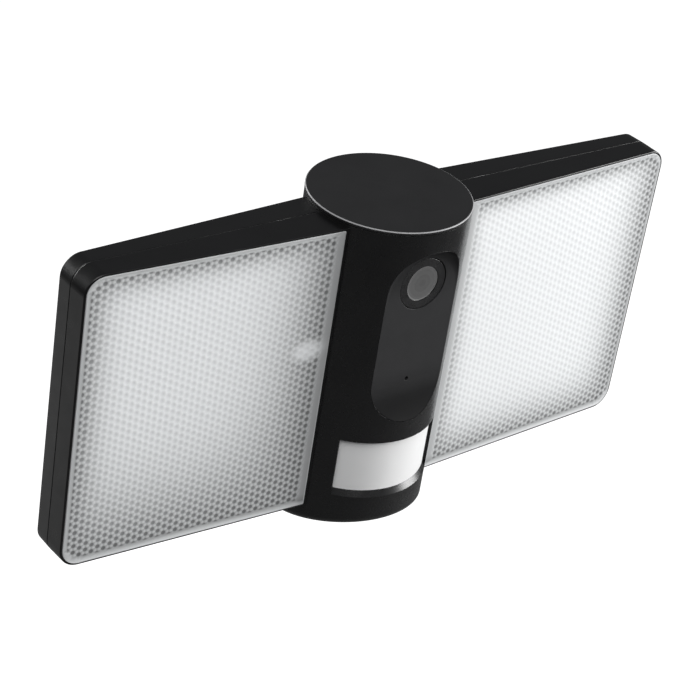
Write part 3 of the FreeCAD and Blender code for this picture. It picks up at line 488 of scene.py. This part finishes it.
# Tones, as shares of white: webs and cells at the edges, in painted shade, and well inside, then the rim's
# painted highlight, with what is added to it at the foot and the head.
WEB_DIM, WEB_LIT = 0.54, 0.82
CELL_DIM, CELL_LIT = 0.12, 0.75
RIM_HIGHLIGHT, RIM_HIGHLIGHT_FOOT, RIM_HIGHLIGHT_HEAD = 0.5, 0.3, -0.12

# Painted shade: shares taken off the plain band beside the cylinder and off the foot, and how far foot and
# head reach.
BAND_SHADE = 0.2
FOOT_SHADE = 0.5
END_REACH = 7 * MM

# How abruptly the painted shade from the edges ends, and how its width beside the cylinder changes from the
# foot to the head.
GLOW_POWER = 1.5
INNER_WIDTH_LOW, INNER_WIDTH_HIGH = 1.4, 0.75

# The connector behind the cover, a pale spot.
LAMP_TONE = 0.82
LAMP_SHIFT = Vector((-1 * MM, 0, 7 * MM))
LAMP_RADIUS, LAMP_FADE, LAMP_STRETCH = 2.5 * MM, 6 * MM, 1.5

# For each cover its side, how strongly the connector shows, and how far the painted shade reaches in from
# the +X, -X, bottom and top edges, in millimetres.
COVERS = {"right": (1, 0.1, (16, 7, 17, 6)), "left": (-1, 0.8, (28, 10, 36, 8))}


def smooth(t):
    t = min(1.0, max(0.0, t))
    return t * t * (3 - 2 * t)


def mix(first, second, share):
    return first + (second - first) * share


def honeycomb():
    """Frosted cover; how pale it looks, painted shade and highlight included, is carried by the mesh, which
    knows its webs, cells and border.
    """
    material, shader, tree = new_material("diffuser")
    tone = add(tree, "ShaderNodeAttribute", attribute_name="tone").outputs["Fac"]
    tree.links.new(blend(tree, tone, (0, 0, 0), (0.975, 0.992, 1.0)), shader.inputs["Base Color"])
    tree.links.new(spread(tree, noise(tree, 220), 0.34, 0.44), shader.inputs["Roughness"])
    bump(tree, shader, noise(tree, 2600, detail=2.0), 0.4, 0.008 * MM)
    shader.inputs["Subsurface Weight"].default_value = 0.12
    shader.inputs["Subsurface Radius"].default_value = (1.0, 1.0, 1.0)
    shader.inputs["Subsurface Scale"].default_value = 1.2 * MM
    return material


def rounded_outline(left, right, low, high, near_corner, far_corner):
    """Points round a plate, anticlockwise, with quarter circles at the corners."""
    points = []
    corners = [(right - far_corner, low + far_corner, far_corner, OUTER_STEPS, -90),
               (right - far_corner, high - far_corner, far_corner, OUTER_STEPS, 0),
               (left + near_corner, high - near_corner, near_corner, INNER_STEPS, 90),
               (left + near_corner, low + near_corner, near_corner, INNER_STEPS, 180)]
    for cx, cz, radius, steps, start in corners:
        for i in range(steps + 1):
            angle = math.radians(start + 90 * i / steps)
            points.append(Vector((cx + radius * math.cos(angle), cz + radius * math.sin(angle))))
    return points


def edge_distance(x, z, left, right, low, high, corner):
    """Distance of a point inside the plate to its outline, whose right corners are round."""
    dx, dz = x - (right - corner), max(low + corner - z, z - (high - corner))
    if dx > 0 and dz > 0:
        return corner - math.hypot(dx, dz)
    return min(x - left, right - x, z - low, high - z)


def cell_points(left, right, low, high, corner):
    """Lattice of cells inside a plate: for each point its place and how deep in its cell it lies."""
    column = CELL * math.sqrt(3) / 2
    columns = int((right - left) / column) + 2
    rows = int((high - low) / CELL) + 3
    placed = {}
    for i in range(columns):
        x = left + CELL / 2 + i * column
        for j in range(rows):
            z = (low + high) / 2 + (j - rows // 2 + (i % 2) / 2) * CELL
            spots = [(x, z, 1.0)]
            for radius, depth, turn in CELL_RINGS:
                for angle in (math.radians(60 * k + turn) for k in range(6)):
                    away = radius * CELL
                    spots.append((x + away * math.cos(angle), z + away * math.sin(angle), depth))
            for px, pz, depth in spots:
                inside = edge_distance(px, pz, left, right, low, high, corner)
                if inside > CELL_CLEAR:
                    placed[(round(px, 6), round(pz, 6))] = depth * smooth(inside / BORDER_FADE)
    return placed


class Tones:
    """Painted tone over one cover: webs and cells pale away from the edges, painted shade at them, a rim with
    a painted highlight, and the connector behind.
    """

    def __init__(self, low, high, lamp, lamp_shows, widths):
        self.low, self.high = low, high
        self.lamp, self.lamp_shows = lamp, lamp_shows
        self.near, self.far, self.bottom, self.top = widths

    def painted_glow(self, x, z):
        """How far the light behind reaches a point, as painted shade: 0 at the border, 1 well inside."""
        rise = (z - self.low.z) / (self.high.z - self.low.z)
        near = self.near * mix(INNER_WIDTH_LOW, INNER_WIDTH_HIGH, rise)
        sides = ((x - self.low.x, near), (self.high.x - x, self.far),
                 (z - self.low.z, self.bottom), (self.high.z - z, self.top))
        painted_glow = 1.0
        for distance, width in sides:
            painted_glow *= 1 - math.exp(-(max(0.0, distance - BORDER) / width) ** GLOW_POWER)
        return painted_glow

    def at(self, x, z, cell, rim_highlight):
        painted_glow = self.painted_glow(x, z)
        foot = 1 - smooth((z - self.low.z) / END_REACH)
        head = 1 - smooth((self.high.z - z) / END_REACH)
        band = 1 - smooth((x - self.low.x - BORDER_INNER + MM) / MM)
        # Painted shade: darker towards the edges, at the foot and in the band beside the cylinder.
        tone = mix(mix(WEB_DIM, WEB_LIT, painted_glow), mix(CELL_DIM, CELL_LIT, painted_glow), cell)
        tone *= (1 - FOOT_SHADE * foot) * (1 - BAND_SHADE * band)
        # Painted highlight on the rim.
        tone = mix(tone, RIM_HIGHLIGHT + RIM_HIGHLIGHT_FOOT * foot + RIM_HIGHLIGHT_HEAD * head, rim_highlight)
        spot = math.hypot((x - self.lamp.x) / LAMP_STRETCH, z - self.lamp.z)
        return mix(tone, LAMP_TONE, self.lamp_shows * (1 - smooth((spot - LAMP_RADIUS) / LAMP_FADE)))


def edge_loops(low, high):
    """Depth and outline of each loop from the back edge round to the front face."""
    rings = [(0.0, high.y)]
    for k in range(EDGE_STEPS + 1):
        angle = math.radians(90 * k / EDGE_STEPS)
        rings.append((EDGE_ROUND * (1 - math.cos(angle)), low.y + EDGE_ROUND * (1 - math.sin(angle))))
    loops = []
    for inset, y in rings:
        loops.append((y, rounded_outline(low.x + inset, high.x - inset, low.z + inset, high.z - inset,
                                         INNER_CORNER - inset * INNER_TIGHTENING, OUTER_CORNER - inset)))
    return loops


def front_points(low, high):
    """Points of the front face inside its edge, with the depth of each: cells, then the plain inner band."""
    field = cell_points(low.x + BORDER_INNER, high.x - BORDER, low.z + BORDER_FOOT, high.z - BORDER,
                        OUTER_CORNER - BORDER)
    for step in range(BAND_STEPS + 1):
        z = mix(low.z + BORDER_FOOT, high.z - BORDER_FOOT, step / BAND_STEPS)
        field[(low.x + BAND_START, z)] = field[(low.x + BORDER_INNER - MM, z)] = 0.0
    return field


def cover_mesh(name, low, high, tones):
    """Closed cover: rounded front edge, smooth border and field of cells, with its tones, painted shade and
    highlight included, on the vertices.
    """
    bm = bmesh.new()
    tone_layer = bm.verts.layers.float.new("tone")

    def vertex(x, y, z, cell=0.0, rim_highlight=0.0):
        made = bm.verts.new((x, y, z))
        made[tone_layer] = tones.at(x, z, cell, rim_highlight)
        return made

    # The edge loops carry the rim's painted highlight.
    loops = [[vertex(p.x, y, p.y, rim_highlight=1.0) for p in points] for y, points in edge_loops(low, high)]
    count = len(loops[0])
    loop_edges = [(i, (i + 1) % count) for i in range(count)]
    for first, second in zip(loops, loops[1:]):
        for i, j in loop_edges:
            bm.faces.new((first[i], first[j], second[j], second[i]))
    bm.faces.new(loops[0][::-1])

    field = front_points(low, high)
    depths = list(field.values())
    flat = [Vector((v.co.x, v.co.z)) for v in loops[-1]] + [Vector(key) for key in field]
    points, _, faces, origins, _, _ = delaunay_2d_cdt(flat, loop_edges, [], KEEP_INSIDE, JOIN_WITHIN)
    vertices = []
    for point, source in zip(points, origins):
        if source[0] < count:
            vertices.append(loops[-1][source[0]])
        else:
            cell = depths[source[0] - count]
            vertices.append(vertex(point.x, low.y + CELL_DEPTH * cell, point.y, cell))
    for face in faces:
        bm.faces.new([vertices[i] for i in face])
    bmesh.ops.recalc_face_normals(bm, faces=bm.faces)

    mesh = bpy.data.meshes.new(name)
    bm.to_mesh(mesh)
    bm.free()
    return mesh


def cover(side, name, node, lead_node, lamp_shows, painted_shade_reach):
    """Moulded cover of one panel, which replaces its CAD plate. Side is 1 towards +X and -1 towards -X."""
    turned = Matrix.Diagonal((side, 1, 1)) @ Matrix.Rotation(-SWEEP * side, 3, "Z")
    local = [turned @ v.co for v in nodes[node].data.vertices]
    low = Vector([min(v[i] for v in local) for i in range(3)])
    high = Vector([max(v[i] for v in local) for i in range(3)])
    lamp = turned @ (sum(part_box(lead_node), Vector()) / 2 + LAMP_SHIFT)
    plus_x, minus_x, bottom, top = (width * MM for width in painted_shade_reach)
    near, far = (minus_x, plus_x) if side > 0 else (plus_x, minus_x)

    mesh = cover_mesh(name, low, high, Tones(low, high, lamp, lamp_shows, (near, far, bottom, top)))
    mesh.transform(turned.inverted().to_4x4())
    if side < 0:
        mesh.flip_normals()
    mesh.shade_smooth()
    mesh.set_sharp_from_angle(angle=math.radians(50))
    mesh.materials.append(finishes["diffuser"])
    piece = bpy.data.objects.new(name, mesh)
    bpy.context.scene.collection.objects.link(piece)
    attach(piece, "head")
    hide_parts(node)


bpy.context.scene.view_settings.view_transform = "Standard"
add_camera()
add_studio()
finishes = finish_cad_nodes()
for hand, (side, lamp_shows, painted_shade_reach) in COVERS.items():
    cover(side, f"{hand}_cover", f"{hand}_diffuser", f"{hand}_led_connector", lamp_shows, painted_shade_reach)
